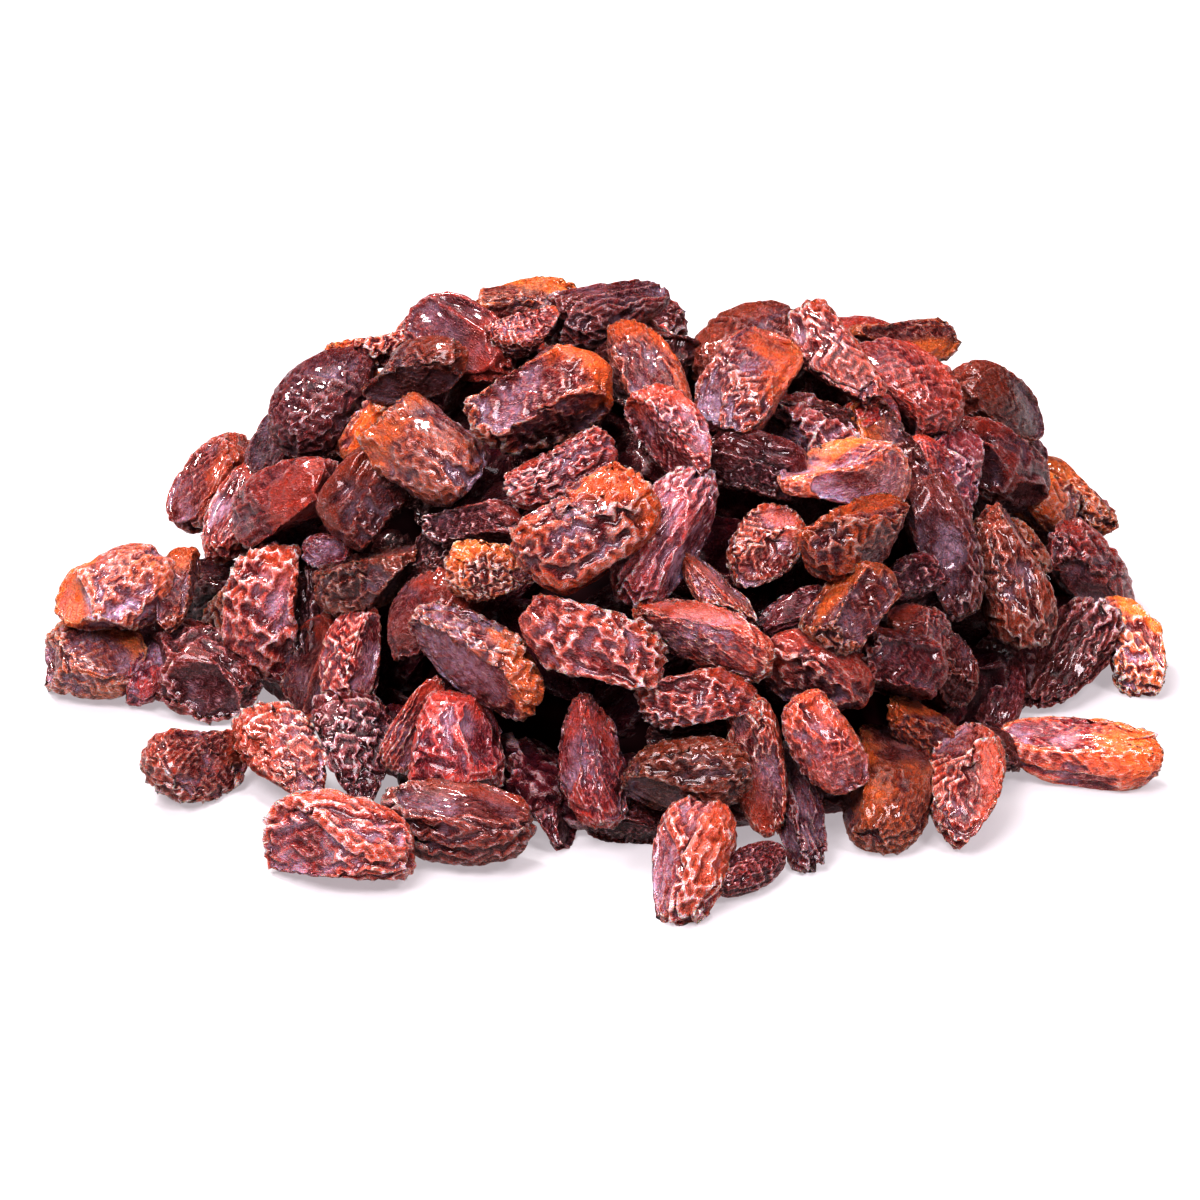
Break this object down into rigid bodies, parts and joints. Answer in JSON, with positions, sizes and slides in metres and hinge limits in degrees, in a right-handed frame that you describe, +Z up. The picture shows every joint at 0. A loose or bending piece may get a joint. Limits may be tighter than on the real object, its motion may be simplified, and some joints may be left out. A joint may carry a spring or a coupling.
{
  "type": "heap of raisins",
  "caption": "Loose rounded heap of wrinkled raisins lying on a flat surface, with a few strays round its foot.",
  "frame": {"origin": "on the surface that the heap lies on, under the middle of the heap", "axes": "+Z up; +X to the right and +Y to the back as the heap shows from the front"},
  "size_m": [0.1391, 0.1256, 0.0481],
  "materials": {
    "raisin_skin": "glossy wrinkled translucent skin, red-brown with amber edges and dark hollows"
  },
  "bodies": {
    "root": {"raisins": "raisin_skin"}
  },
  "joints": []
}
